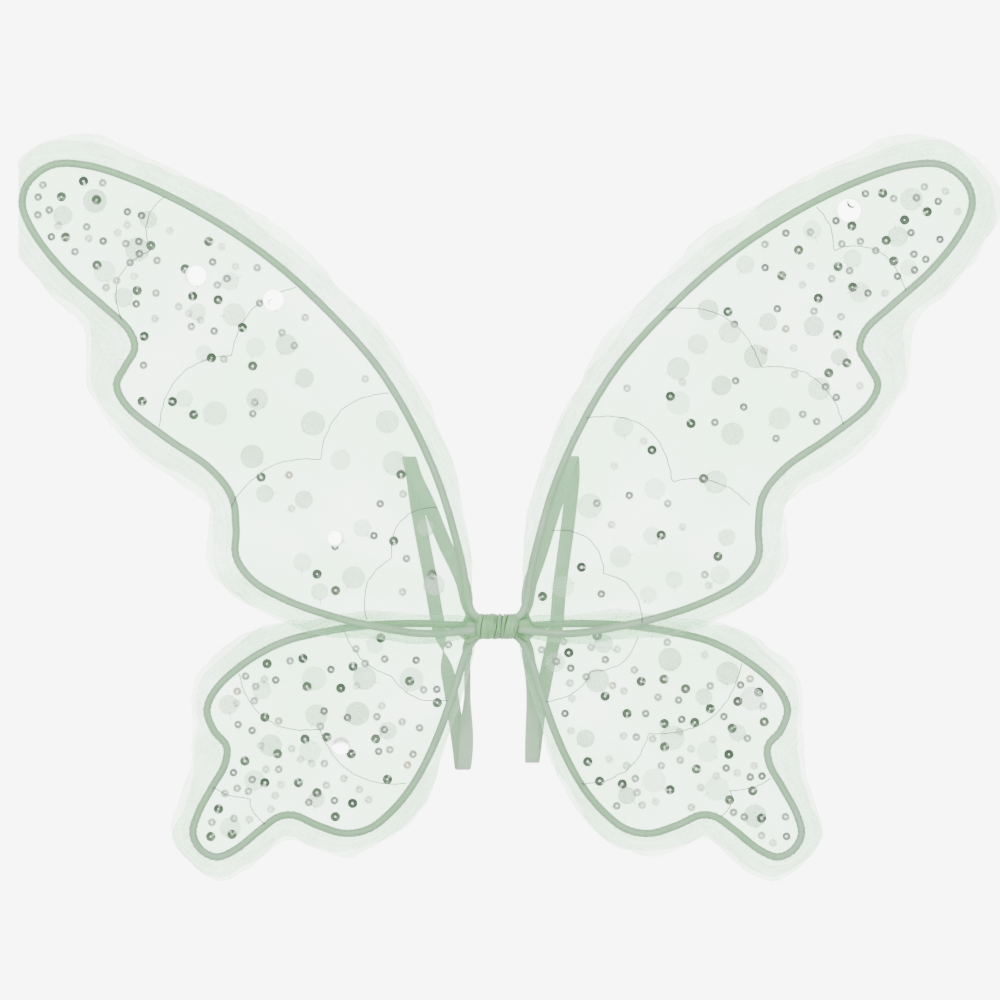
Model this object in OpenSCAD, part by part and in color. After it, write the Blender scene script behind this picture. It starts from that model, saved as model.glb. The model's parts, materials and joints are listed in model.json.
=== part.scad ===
// Costume fairy wings: two upper and two lower wings of tulle on ribbon-covered wire loops, joined by
// a ribbon binding, with two elastic arm loops for the wearer.
// X runs across the wearer's back, Z is up and +Y points to the wearer. The origin is on the side of
// the binding that rests on the wearer's back. Each wing folds about an upright line beside the binding.

/* [Wings] */
// Distance from the middle to the tips of the upper frames
wing_reach = 342; // [285:1:412]
// Height of the upper frames above the binding
upper_height = 332; // [277:1:400]
// Depth of the lower frames below the binding
lower_drop = 166; // [139:1:200]
// Width of the raw tulle edge outside the frame
tulle_margin = 20; // [12:1:26]
// Furthest reach of the trimmed left tulle edge beyond the left tip
left_edge_trim = 6; // [4:0.5:24]
// Thickness of one tulle panel
tulle_t = 0.4; // [0.3:0.1:0.8]
// Distance of each wing's mid plane from the middle plane of the binding
layer_step = 4.2; // [4.2:0.1:6]

/* [Frame] */
// Diameter of the ribbon sleeve round the wire
sleeve_d = 6; // [5:0.1:6.2]
// Wall of the ribbon sleeve
sleeve_wall = 1.3; // [0.8:0.1:1.5]
// Diameter of the spring-steel wire
wire_d = 2; // [1.5:0.1:2.6]

/* [Binding] */
// Length of the binding
binding_l = 30; // [24:1:38]
// Diameter over the wound ribbon
binding_d = 19.4; // [18:0.2:22]
// Turns of ribbon on the binding
binding_turns = 5; // [4:1:6]
// Distance of each fold line from the end of the binding
fold_offset = 8; // [7:0.5:12]
// Thickness of the ribbon-wrapped stem at the fold
stem_t = 6; // [5:0.2:7]

/* [Arm loops] */
// Width of the elastic
strap_w = 10; // [8:0.5:12]
// Thickness of the elastic
strap_t = 1; // [0.8:0.1:1.4]

/* [Trimmings] */
// Smallest paillette
paillette_d_min = 12; // [9:0.5:13]
// Largest paillette
paillette_d_max = 18; // [14:0.5:20]
// Diameter of a clear ring sequin
ring_sequin_d = 5.6; // [4:0.1:7]
// Diameter of a dark cup sequin
dark_sequin_d = 6.8; // [5:0.1:8]
// Thickness of a sequin
sequin_t = 0.5; // [0.3:0.05:0.6]
// Width of a line of stitching
thread_w = 0.8; // [0.6:0.1:1.5]

/* [Hidden] */
SIDES = ["left", "right"];

tube_sides = 8;         // sides of a ribbon sleeve
wire_sides = 6;         // sides of a wire
round_fn = 64;          // facets of a true cylinder when it is drawn

// How many trimmings a wing carries, and the least gap between two of a kind
upper_paillettes = 32;
lower_paillettes = 15;
dark_sequins_per_wing = 24;
ring_sequins_per_wing = 56;
paillette_gap = 7;
dark_sequin_gap = 8;
ring_sequin_gap = 2.4;

// Outline of the frames, X outwards and Z up, for a reach of 342, a height of 332 and a drop of 166.
drawn_reach = 342;
drawn_height = 332;
drawn_drop = 166;
UPPER = [
    [26, 48], [45, 111], [82, 181], [126, 231], [168, 268], [214, 298], [261, 321], [296, 332],
    [321, 332], [338, 319], [342, 304], [334, 284], [313, 257], [284, 231], [265, 213], [261, 200],
    [268, 187], [274, 174], [267, 159], [240, 137], [206, 113], [191, 93], [188, 70], [188, 50],
    [176, 33], [152, 19], [118, 7], [88, 0], [56, -5]
];
LOWER = [
    [50, 2], [90, 1], [125, -4], [156, -12], [184, -28], [203, -46], [209, -60], [204, -75],
    [195, -86], [196, -99], [206, -117], [216, -136], [219, -150], [213, -161], [202, -166],
    [189, -161], [170, -146], [157, -137], [146, -136], [130, -143], [110, -149], [93, -146],
    [77, -134], [60, -113], [45, -84], [33, -52]
];
// Points of each outline that carry the tulle edge; the notches between them are spanned.
UPPER_EDGE = [0, 1, 2, 3, 4, 5, 6, 7, 8, 10, 12, 13, 17, 18, 19, 20, 21, 22, 23, 24, 25, 26, 27, 28];
LOWER_EDGE = [0, 1, 2, 3, 4, 5, 7, 10, 11, 12, 14, 15, 17, 19, 20, 21, 22, 23, 24, 25];

// Lines of stitching: start, cusp, end, then how far each of the two arcs bulges.
LEFT_UPPER_LINES = [
    [[240, 309], [249, 271], [271, 221], 8, 13], [[145, 244], [191, 195], [243, 144], 12, 16],
    [[78, 168], [127, 120], [191, 87], 15, 12], [[43, 86], [76, 49], [94, 5], 13, 9]
];
RIGHT_UPPER_LINES = [
    [[230, 302], [242, 271], [294, 242], 4, 15], [[122, 228], [190, 187], [249, 146], 17, 15],
    [[64, 150], [126, 104], [182, 87], 20, 9], [[40, 69], [77, 38], [104, 3], 12, 9]
];
LEFT_LOWER_LINES = [
    [[110, -3], [76, -36], [36, -53], 6, 7], [[186, -34], [128, -74], [66, -113], 16, 14],
    [[205, -116], [178, -124], [167, -142], 2, 3]
];
RIGHT_LOWER_LINES = [
    [[101, -8], [68, -32], [35, -54], 8, 6], [[176, -27], [109, -77], [60, -113], 18, 12],
    [[197, -109], [168, -118], [162, -136], 3, 3]
];

// Middle line of each arm loop from its upper end to its lower end, on a binding 30 long: X outwards,
// Y to the wearer, Z up.
drawn_binding = 30;
LEFT_LOOP = [
    [22, -3.2, 5.5], [21.5, 1, 13], [25, 2.5, 32], [38, 8, 60], [49, 13, 87], [59, 18, 108],
    [63, 24, 121], [63.5, 32, 121], [61, 38, 110], [58, 41, 88], [53.5, 43, 62], [48.5, 44, 36],
    [44.5, 44, 12], [41, 43, -7], [38, 42, -22], [34.5, 39, -40], [30.5, 35, -65],
    [27, 29, -90], [25.5, 23, -102], [24, 16, -102], [22.5, 11, -90], [22, 7, -70], [21.5, 4, -48],
    [21.5, 2.5, -26], [21.5, 1, -13], [22, -3.2, -5.5]
];
RIGHT_LOOP = [
    [22, -3.2, 5.5], [21.5, 1, 13], [23.5, 2.5, 30], [30, 5, 49], [38, 9, 75], [46, 14, 100],
    [51, 19, 116], [53, 25, 122], [54, 32, 121], [54.5, 38, 110], [53, 41, 92], [50.5, 43, 70],
    [47.5, 44, 48], [44.5, 44, 24], [43, 43, 4], [40.5, 42, -11], [37, 40, -26], [34, 38, -42],
    [30, 34, -62], [27, 28, -86], [25.5, 22, -97], [25, 15, -97], [25, 10, -84], [25.5, 6, -62],
    [25, 4, -40], [23, 2.5, -25], [21.5, 1, -13], [22, -3.2, -5.5]
];

// Derived places
reach_scale = wing_reach / drawn_reach;
height_scale = upper_height / drawn_height;
drop_scale = lower_drop / drawn_drop;
middle_y = -binding_d / 2;
upper_y = middle_y - layer_step;
lower_y = middle_y + layer_step;
fold_x = binding_l / 2 + fold_offset;
fold_gap = stem_t / 2 + 1.4;                // clear distance of the wings from the fold line
wing_x = fold_x + fold_gap;
stem_h = binding_d - 1.4;
stem_top = stem_h / 2;
above_stem = stem_top + 3.5;                // height where the wings may pass over the stem
over_x = binding_l / 2 + 0.5;
panel_gap = 0.2;                            // between a sleeve and the tulle on each side
panel_y = sleeve_d / 2 + panel_gap;
core_r = binding_d / 2 - 3.4;
tuck_t = 1.2;
tuck_span = 56;                             // angle that a tucked end covers round the tape
tuck_gap = 4;                               // angle between the two tucked ends
tuck_angle = (tuck_gap + tuck_span) / 2;
ribbon_in = core_r + tuck_t + 0.05;
ribbon_t = binding_d / 2 - ribbon_in;
tape_t = 1.6;
bundle_wires = 8;
bundle_r = core_r - tape_t - wire_d / 2 - 0.05;
paillette_t = 0.4;
stitch_t = 0.4;
seam_gap = 1.5;                             // between a trimming and the ribbon sleeve

// Curves

function mix(a, b, t) = a + (b - a) * t;
function knot(a, b) = sqrt(norm(b - a));
// A point of the smooth curve between p1 and p2, at u from 0 to 1
function between(p0, p1, p2, p3, u) =
    let (t1 = knot(p0, p1), t2 = t1 + knot(p1, p2), t3 = t2 + knot(p2, p3), t = mix(t1, t2, u))
    let (a1 = mix(p0, p1, t / t1), a2 = mix(p1, p2, (t - t1) / (t2 - t1)),
         a3 = mix(p2, p3, (t - t2) / (t3 - t2)))
    let (b1 = mix(a1, a2, t / t2), b2 = mix(a2, a3, (t - t1) / (t3 - t1)))
    mix(b1, b2, (t - t1) / (t2 - t1));
// A smooth open curve through all the points, with n steps from each to the next
function smooth(points, n) =
    let (last = len(points) - 1)
    let (p = concat([2 * points[0] - points[1]], points, [2 * points[last] - points[last - 1]]))
    concat([for (i = [0 : last - 1], k = [0 : n - 1])
        between(p[i], p[i + 1], p[i + 2], p[i + 3], k / n)], [points[last]]);
function unit(v) = v / norm(v);
function tangent(path, i) = unit(path[min(i + 1, len(path) - 1)] - path[max(i - 1, 0)]);
// The unit vector to the right of the direction of travel in the plane, which is outwards here
function outward(path, i) = let (t = tangent(path, i)) [-t.y, t.x];

// Frame outlines

function scaled(points, z_scale) = [for (p = points) [p.x * reach_scale, p.y * z_scale]];
function upper_points() =
    concat([[over_x + 3.5, above_stem + 1.5]], scaled(UPPER, height_scale), [[wing_x, -4]]);
function lower_points() =
    concat([[wing_x, 0.5]], scaled(LOWER, drop_scale), [[over_x + 4, -above_stem - 0.5]]);
function frame_points(upper) = upper ? upper_points() : lower_points();
function frame_path(upper) = smooth(frame_points(upper), upper ? 3 : 2);
function wing_y(upper) = upper ? upper_y : lower_y;

// Tulle outlines: the margin narrows towards the binding and ripples along the edge.
function margin_at(p, i, layer) =
    let (full = tulle_margin * (layer == "front" ? 1 : 0.8))
    min(full, 3 + norm(p) / 12) * (1 + 0.12 * sin(i * (layer == "front" ? 115 : 155)));
function edge_points(upper, layer) =
    let (path = scaled(upper ? UPPER : LOWER, upper ? height_scale : drop_scale))
    let (thin = upper ? 1 : 0.85)
    [for (i = upper ? UPPER_EDGE : LOWER_EDGE)
        path[i] + outward(path, i) * margin_at(path[i], i, layer) * thin];
function trimmed(points, side) =
    let (reach = wing_reach + sleeve_d / 2 + (side == "left" ? left_edge_trim : tulle_margin))
    [for (p = points) [min(p.x, reach), p.y]];
function panel_outline(side, upper, layer) =
    let (edge = trimmed(smooth(edge_points(upper, layer), 3), side))
    upper
        ? concat([[over_x, above_stem]], edge, [[wing_x, -12], [wing_x, above_stem]])
        : concat([[wing_x, 10]], edge, [[wing_x, -above_stem + 0.5]]);

// Solids swept along a path

function ring(centre, across, away, r, sides) = [for (k = [0 : sides - 1])
    let (a = 360 * (k + 0.5) / sides) centre + r * (cos(a) * across + sin(a) * away)];
function frame_rings(upper, r, sides) =
    let (path = frame_path(upper), y = wing_y(upper))
    [for (i = [0 : len(path) - 1]) let (n = outward(path, i))
        ring([path[i].x, y, path[i].y], [n.x, 0, n.y], [0, 1, 0], r, sides)];
// Side walls between ring after ring of s points, starting at point number first
function walls(rings, s, first, flip) = [for (i = [0 : rings - 2], k = [0 : s - 1])
    let (a = first + i * s + k, b = first + i * s + (k + 1) % s)
    each flip ? [[a, b, b + s], [a, b + s, a + s]] : [[a, b + s, b], [a, a + s, b + s]]];
function joined(rings) = [for (r = rings) each r];

module solid_sweep(rings) {
    s = len(rings[0]);
    n = len(rings);
    polyhedron(joined(rings), concat(walls(n, s, 0, false),
        [[for (k = [0 : s - 1]) k]], [[for (k = [s - 1 : -1 : 0]) (n - 1) * s + k]]));
}

module hollow_sweep(outer, inner) {
    s = len(outer[0]);
    n = len(outer);
    inside = n * s;
    far = (n - 1) * s;
    polyhedron(concat(joined(outer), joined(inner)), concat(
        walls(n, s, 0, false), walls(n, s, inside, true),
        [for (k = [0 : s - 1]) let (j = (k + 1) % s)
            each [[k, j, inside + j], [k, inside + j, inside + k]]],
        [for (k = [0 : s - 1]) let (j = (k + 1) % s)
            each [[far + k, inside + far + j, far + j], [far + k, inside + far + k, inside + far + j]]]));
}

module on_side(side) {
    if (side == "left") mirror([1, 0, 0]) children();
    else children();
}

// A flat sheet in the plane of the wings, from the given Y towards the wearer
module sheet(y, t) {
    translate([0, y + t, 0]) rotate([90, 0, 0]) linear_extrude(t) children();
}

// Wing pieces

module wire(side, upper) {
    color("silver") on_side(side) solid_sweep(frame_rings(upper, wire_d / 2, wire_sides));
}

module sleeve(side, upper) {
    color("darkseagreen") on_side(side) hollow_sweep(
        frame_rings(upper, sleeve_d / 2, tube_sides),
        frame_rings(upper, sleeve_d / 2 - sleeve_wall, tube_sides));
}

module front_tulle(side, upper) {
    color("honeydew") on_side(side) sheet(wing_y(upper) - panel_y - tulle_t, tulle_t)
        polygon(panel_outline(side, upper, "front"));
}

module back_tulle(side, upper) {
    color("mintcream") on_side(side) sheet(wing_y(upper) + panel_y, tulle_t)
        polygon(panel_outline(side, upper, "back"));
}

// Trimmings are scattered over a wing: [x, z, radius], at random but always in the same places.

function segment_gap(p, a, b) =
    let (u = max(0, min(1, (p - a) * (b - a) / ((b - a) * (b - a))))) norm(p - mix(a, b, u));
function loop_gap(p, loop) =
    min([for (i = [0 : len(loop) - 1]) segment_gap(p, loop[i], loop[(i + 1) % len(loop)])]);
function crosses(p, a, b) =
    (a.y > p.y) != (b.y > p.y) && p.x < (b.x - a.x) * (p.y - a.y) / (b.y - a.y) + a.x;
function inside(p, loop) =
    len([for (i = [0 : len(loop) - 1]) if (crosses(p, loop[i], loop[(i + 1) % len(loop)])) 1]) % 2 == 1;
// Trimmings get closer together towards the tip of a wing.
function crowding(p, upper, spread) =
    let (far = upper ? norm([wing_reach, upper_height]) : norm([wing_reach * 0.64, lower_drop]))
    let (u = max(0, min(1, (norm(p) / far - 0.4) / 0.5)))
    spread + (1 - spread) * pow(u, 2.6);
function candidates(upper, n, seed, spread, r_min, r_max) =
    let (dice = rands(0, 1, 4 * n, seed), loop = smooth(frame_points(upper), 1))
    let (low = upper ? 0 : -lower_drop, high = upper ? upper_height : 0, wide = upper ? 1 : 0.64)
    [for (i = [0 : n - 1]) let (
        p = [dice[4 * i] * wing_reach * wide, mix(low, high, dice[4 * i + 1])],
        r = mix(r_min, r_max, dice[4 * i + 3]))
        if (dice[4 * i + 2] < crowding(p, upper, spread) && inside(p, loop)
            && p.x > wing_x + r && loop_gap(p, loop) > r + sleeve_d / 2 + seam_gap)
            [p.x, p.y, r]];
function is_free(c, kept, gap) =
    len([for (k = kept) if (norm([c.x - k.x, c.y - k.y]) < c.z + k.z + gap) 1]) == 0;
function spaced(list, want, gap, taken, kept = [], i = 0) =
    i >= len(list) || len(kept) >= want ? kept
    : spaced(list, want, gap, taken,
        is_free(list[i], concat(taken, kept), gap) ? concat(kept, [list[i]]) : kept, i + 1);

function wing_seed(side, upper) = (side == "left" ? 3 : 8) + (upper ? 0 : 40);
function paillette_spots(side, upper) =
    spaced(candidates(upper, 600, wing_seed(side, upper), 0.8, paillette_d_min / 2,
        paillette_d_max / 2), upper ? upper_paillettes : lower_paillettes, paillette_gap, []);
function dark_spots(side, upper) =
    spaced(candidates(upper, 1200, wing_seed(side, upper) + 1, upper ? 0.1 : 0.2,
        dark_sequin_d / 2, dark_sequin_d / 2), dark_sequins_per_wing, dark_sequin_gap, []);
function ring_spots(side, upper) =
    spaced(candidates(upper, 2400, wing_seed(side, upper) + 2, upper ? 0.08 : 0.13,
        ring_sequin_d / 2, ring_sequin_d / 2), ring_sequins_per_wing, ring_sequin_gap,
        dark_spots(side, upper));

module discs(spots, y, t) {
    for (s = spots) translate([s.x, y + t, s.y]) rotate([90, 0, 0]) cylinder(t, s.z, s.z, $fn = 32);
}

// Paillettes are held between the two panels, sewn to the inside of the front one.
module paillettes(side, upper) {
    color("azure", 0.6) on_side(side)
        discs(paillette_spots(side, upper), wing_y(upper) - panel_y, paillette_t - panel_gap / 2);
}

module ring_sequins(side, upper) {
    color("silver") on_side(side)
        discs(ring_spots(side, upper), wing_y(upper) - panel_y - tulle_t - sequin_t, sequin_t);
}

module dark_sequins(side, upper) {
    color("seagreen") on_side(side)
        discs(dark_spots(side, upper), wing_y(upper) - panel_y - tulle_t - sequin_t, sequin_t);
}

// An arc from a to b that bulges away from the root of the wing
function arc(a, b, bulge, steps) =
    let (chord = b - a, n = unit([-chord.y, chord.x]))
    let (out = n * (a + b) > 0 ? n : -n)
    [for (k = [0 : steps]) let (u = k / steps) mix(a, b, u) + out * bulge * 4 * u * (1 - u)];
function stitch_path(line, z_scale) =
    let (p = scaled([line[0], line[1], line[2]], z_scale))
    concat(arc(p[0], p[1], line[3], 6), [for (k = [1 : 6]) arc(p[1], p[2], line[4], 6)[k]]);
// The part of a path that keeps clear of the ribbon sleeve
function clear_part(path, loop) = [for (p = path)
    if (inside(p, loop) && loop_gap(p, loop) > sleeve_d / 2 + seam_gap) p];
module line_strip(path) {
    for (i = [0 : len(path) - 2]) let (a = path[i], b = path[i + 1], t = unit(b - a) * thread_w / 2)
        polygon([a - t + [-t.y, t.x], b + t + [-t.y, t.x], b + t - [-t.y, t.x], a - t - [-t.y, t.x]]);
}

// The lines of stitching lie on the inside of the back panel.
module stitching(side, upper) {
    lines = upper ? (side == "left" ? LEFT_UPPER_LINES : RIGHT_UPPER_LINES)
        : (side == "left" ? LEFT_LOWER_LINES : RIGHT_LOWER_LINES);
    loop = smooth(frame_points(upper), 2);
    color("gray") on_side(side) sheet(wing_y(upper) + panel_y - stitch_t, stitch_t)
        for (line = lines)
            line_strip(clear_part(stitch_path(line, upper ? height_scale : drop_scale), loop));
}

// Binding pieces

module along_x(l) {
    translate([-l / 2, middle_y, 0]) rotate([0, 90, 0]) children();
}

module wire_end_bundle() {
    l = binding_l - 2;
    color("silver") along_x(l) for (k = [0 : bundle_wires - 1])
        rotate(360 * k / bundle_wires) translate([bundle_r, 0, 0])
            cylinder(l, wire_d / 2, wire_d / 2, $fn = 24);
}

module bundle_tape() {
    l = binding_l - 1;
    color("whitesmoke") along_x(l) difference() {
        cylinder(l, core_r, core_r, $fn = round_fn);
        translate([0, 0, -1]) cylinder(l + 2, core_r - tape_t, core_r - tape_t, $fn = round_fn);
    }
}

module binding_ribbon() {
    pitch = binding_l / binding_turns;
    hump = 4;
    color("darkseagreen") along_x(binding_l) rotate_extrude($fn = round_fn) difference() {
        union() {
            translate([ribbon_in, 0]) square([ribbon_t - 0.8, binding_l]);
            for (k = [0 : binding_turns - 1])
                translate([ribbon_in + ribbon_t - hump, (k + 0.5) * pitch]) circle(hump, $fn = 48);
        }
        square([ribbon_in, binding_l]);
        translate([0, -hump]) square([2 * binding_d, hump]);
        translate([0, binding_l]) square([2 * binding_d, hump]);
    }
}

module stem(side) {
    x = binding_l / 2;
    color("darkseagreen") on_side(side) translate([0, middle_y, -stem_h / 2]) linear_extrude(stem_h) {
        translate([x, -stem_t / 2]) square([fold_x - x, stem_t]);
        translate([fold_x, 0]) circle(stem_t / 2, $fn = 48);
    }
}

// Two flat ends of one arm loop, curved round the tape and held by the ribbon
module strap_ends(side) {
    tuck = 12;
    shown = 2;
    color("darkseagreen") on_side(side)
        translate([binding_l / 2 - tuck, middle_y, 0]) rotate([0, 90, 0])
            for (a = [90 + tuck_gap / 2, 90 - tuck_gap / 2 - tuck_span]) rotate(a)
                rotate_extrude(angle = tuck_span, $fn = round_fn)
                    translate([core_r + 0.02, 0]) square([tuck_t - 0.02, tuck + shown]);
}

// Arm loops

function loop_points(side) =
    let (shift = [(binding_l - drawn_binding) / 2, 0, 0])
    let (tuck_r = core_r + tuck_t / 2, x = binding_l / 2 + 5)
    let (y = middle_y + tuck_r * cos(tuck_angle), z = tuck_r * sin(tuck_angle))
    concat([[x, y, z]], [for (p = side == "left" ? LEFT_LOOP : RIGHT_LOOP) p + shift], [[x, y, -z]]);
// The flat side of the elastic faces along Y, and turns round the tape at its two ends.
turning_steps = 5;
function width_aim(i, last) =
    let (to_start = max(0, 1 - i / turning_steps), to_end = max(0, 1 - (last - i) / turning_steps))
    mix(mix([-1, 0, 0], [0, -0.5, 0.87], to_start), [0, -0.5, -0.87], to_end);
function width_at(path, i) =
    let (t = tangent(path, i), aim = width_aim(i, len(path) - 1)) unit(aim - (aim * t) * t);
module strap(side) {
    path = smooth(loop_points(side), 3);
    last = len(path) - 1;
    rings = [for (i = [0 : last]) let (
        narrow = strap_w - 3 * max(0, 1 - min(i, last - i) / 4),
        w = width_at(path, i), across = w * narrow / 2,
        away = unit(cross(tangent(path, i), w)) * strap_t / 2)
        [path[i] + across + away, path[i] - across + away,
         path[i] - across - away, path[i] + across - away]];
    color("darkseagreen") on_side(side) solid_sweep(rings);
}

wire_end_bundle();
bundle_tape();
binding_ribbon();
for (side = SIDES) {
    stem(side);
    strap_ends(side);
    strap(side);
    for (upper = [true, false]) {
        wing = str(side, upper ? "_upper_" : "_lower_");
        wire(side, upper);
        sleeve(side, upper);
        front_tulle(side, upper);
        back_tulle(side, upper);
        paillettes(side, upper);
        ring_sequins(side, upper);
        dark_sequins(side, upper);
        stitching(side, upper);
    }
}
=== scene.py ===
import json
import math
import random

import bmesh
import bpy
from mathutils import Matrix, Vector, geometry, noise


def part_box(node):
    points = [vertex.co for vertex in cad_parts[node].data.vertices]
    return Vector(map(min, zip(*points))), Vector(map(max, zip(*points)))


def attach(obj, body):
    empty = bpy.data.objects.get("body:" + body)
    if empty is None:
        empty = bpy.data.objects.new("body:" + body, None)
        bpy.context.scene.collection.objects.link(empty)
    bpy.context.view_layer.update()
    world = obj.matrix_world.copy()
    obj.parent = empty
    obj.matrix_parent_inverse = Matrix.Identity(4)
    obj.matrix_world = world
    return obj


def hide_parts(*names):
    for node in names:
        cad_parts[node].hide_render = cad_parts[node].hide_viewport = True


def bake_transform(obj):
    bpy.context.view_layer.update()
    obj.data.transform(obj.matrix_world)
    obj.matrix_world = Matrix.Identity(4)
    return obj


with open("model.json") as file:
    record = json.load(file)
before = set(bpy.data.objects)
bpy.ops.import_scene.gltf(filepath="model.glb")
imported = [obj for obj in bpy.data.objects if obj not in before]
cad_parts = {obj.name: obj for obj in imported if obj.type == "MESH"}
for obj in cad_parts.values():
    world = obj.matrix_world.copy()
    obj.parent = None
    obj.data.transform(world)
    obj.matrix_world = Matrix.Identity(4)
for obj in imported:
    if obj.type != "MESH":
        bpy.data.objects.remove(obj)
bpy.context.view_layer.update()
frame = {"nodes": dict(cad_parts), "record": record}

MM = 0.001
SIDES = {"left": -1, "right": 1}
FRAME_STEP = 2.0  # mm between two points of a frame line
EDGE_STEP = 2.2  # mm between two points of a raw tulle edge
THREAD_SIDES = 5
VIEW_WIDTH = 0.72  # metres across the picture

# ---------------------------------------------------------------- places that the frame gives

BINDING_LOW, BINDING_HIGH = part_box("binding_ribbon")
BINDING_END = BINDING_HIGH.x
BINDING_R = (BINDING_HIGH.y - BINDING_LOW.y) / 2
MIDDLE_Y = (BINDING_HIGH.y + BINDING_LOW.y) / 2
TAPE_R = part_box("bundle_tape")[1].z
JOINTS = {j["name"]: j for j in frame["record"]["behaviour"]["joints"]}
FOLD_X = abs(JOINTS["right_upper_fold"]["pos_m"][0])


def wing_y(level):
    low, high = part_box(f"right_{level}_sleeve")
    return (low.y + high.y) / 2


WING_Y = {level: wing_y(level) for level in ("upper", "lower")}

# Middle line of the frames of the right wings in millimetres, X outwards and Z up
OUTLINE = {
    "upper": [
        (26, 48), (45, 111), (82, 181), (126, 231), (168, 268), (214, 298), (261, 321), (296, 332),
        (321, 332), (338, 319), (342, 304), (334, 284), (313, 257), (284, 231), (265, 213), (261, 200),
        (268, 187), (274, 174), (267, 159), (240, 137), (206, 113), (191, 93), (188, 70), (188, 50),
        (176, 33), (152, 19), (118, 7), (88, 0), (56, -5)],
    "lower": [
        (50, 2), (90, 1), (125, -4), (156, -12), (184, -28), (203, -46), (209, -60), (204, -75),
        (195, -86), (196, -99), (206, -117), (216, -136), (219, -150), (213, -161), (202, -166),
        (189, -161), (170, -146), (157, -137), (146, -136), (130, -143), (110, -149), (93, -146),
        (77, -134), (60, -113), (45, -84), (33, -52)]}
# Points of the outlines that carry the raw edge of the tulle
EDGE_POINTS = {
    "upper": [0, 1, 2, 3, 4, 5, 6, 7, 8, 10, 12, 13, 17, 18, 19, 20, 21, 22, 23, 24, 25, 26, 27, 28],
    "lower": [0, 1, 2, 3, 4, 5, 7, 10, 11, 12, 14, 15, 17, 19, 20, 21, 22, 23, 24, 25]}
# How far out the tulle reaches, in millimetres: the left edge is trimmed close to the frame
TULLE_REACH = {"left": 345.0, "right": 366.0}
# Lines of stitching: start, cusp, end, and how far each of the two arcs bulges, in millimetres
LINES = {
    ("left", "upper"): [
        ((240, 309), (249, 271), (271, 221), 8, 13), ((145, 244), (191, 195), (243, 144), 12, 16),
        ((78, 168), (127, 120), (191, 87), 15, 12), ((43, 86), (76, 49), (94, 5), 13, 9)],
    ("right", "upper"): [
        ((230, 302), (242, 271), (294, 242), 4, 15), ((122, 228), (190, 187), (249, 146), 17, 15),
        ((64, 150), (126, 104), (182, 87), 20, 9), ((40, 69), (77, 38), (104, 3), 12, 9)],
    ("left", "lower"): [
        ((110, -3), (76, -36), (36, -53), 6, 7), ((186, -34), (128, -74), (66, -113), 16, 14),
        ((205, -116), (178, -124), (167, -142), 2, 3)],
    ("right", "lower"): [
        ((101, -8), (68, -32), (35, -54), 8, 6), ((176, -27), (109, -77), (60, -113), 18, 12),
        ((197, -109), (168, -118), (162, -136), 3, 3)]}
# Middle line of each arm loop in millimetres: X outwards, Y to the wearer, Z up
LOOPS = {
    "left": [
        (22, -3.2, 5.5), (21.5, 1, 13), (25, 2.5, 32), (38, 8, 60), (49, 13, 87), (59, 18, 108),
        (63, 24, 121), (63.5, 32, 121), (61, 38, 110), (58, 41, 88), (53.5, 43, 62), (48.5, 44, 36),
        (44.5, 44, 12), (41, 43, -7), (38, 42, -22), (34.5, 39, -40), (30.5, 35, -65),
        (27, 29, -90), (25.5, 23, -102), (24, 16, -102), (22.5, 11, -90), (22, 7, -70),
        (21.5, 4, -48), (21.5, 2.5, -26), (21.5, 1, -13), (22, -3.2, -5.5)],
    "right": [
        (22, -3.2, 5.5), (21.5, 1, 13), (23.5, 2.5, 30), (30, 5, 49), (38, 9, 75), (46, 14, 100),
        (51, 19, 116), (53, 25, 122), (54, 32, 121), (54.5, 38, 110), (53, 41, 92), (50.5, 43, 70),
        (47.5, 44, 48), (44.5, 44, 24), (43, 43, 4), (40.5, 42, -11), (37, 40, -26), (34, 38, -42),
        (30, 34, -62), (27, 28, -86), (25.5, 22, -97), (25, 15, -97), (25, 10, -84), (25.5, 6, -62),
        (25, 4, -40), (23, 2.5, -25), (21.5, 1, -13), (22, -3.2, -5.5)]}

# ---------------------------------------------------------------- curves


def mix(a, b, t):
    return a + (b - a) * t


def ease(t):
    t = max(0.0, min(1.0, t))
    return t * t * (3 - 2 * t)


def smooth(points, steps):
    """A smooth open curve through all the points: a centripetal Catmull-Rom spline."""
    p = [Vector(q) for q in points]
    p = [2 * p[0] - p[1]] + p + [2 * p[-1] - p[-2]]
    curve = []
    for a, b, c, d in zip(p, p[1:], p[2:], p[3:]):
        t1 = math.sqrt((b - a).length)
        t2 = t1 + math.sqrt((c - b).length)
        t3 = t2 + math.sqrt((d - c).length)
        for k in range(steps):
            t = mix(t1, t2, k / steps)
            ab, bc = mix(a, b, t / t1), mix(b, c, (t - t1) / (t2 - t1))
            cd = mix(c, d, (t - t2) / (t3 - t2))
            curve.append(mix(mix(ab, bc, t / t2), mix(bc, cd, (t - t1) / (t3 - t1)), (t - t1) / (t2 - t1)))
    return curve + [p[-2]]


def even(points, step):
    """The same curve with points the same distance apart."""
    lengths = [0.0]
    for a, b in zip(points, points[1:]):
        lengths.append(lengths[-1] + (b - a).length)
    count = max(2, round(lengths[-1] / step))
    result, i = [], 0
    for k in range(count + 1):
        s = lengths[-1] * k / count
        while i < len(lengths) - 2 and lengths[i + 1] < s:
            i += 1
        span = lengths[i + 1] - lengths[i]
        result.append(mix(points[i], points[i + 1], (s - lengths[i]) / span if span else 0.0))
    return result


def tangents(path):
    last = len(path) - 1
    return [(path[min(i + 1, last)] - path[max(i - 1, 0)]).normalized() for i in range(last + 1)]


def run_lengths(path):
    total, result = 0.0, [0.0]
    for a, b in zip(path, path[1:]):
        total += (b - a).length
        result.append(total)
    return result


# ---------------------------------------------------------------- meshes


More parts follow.
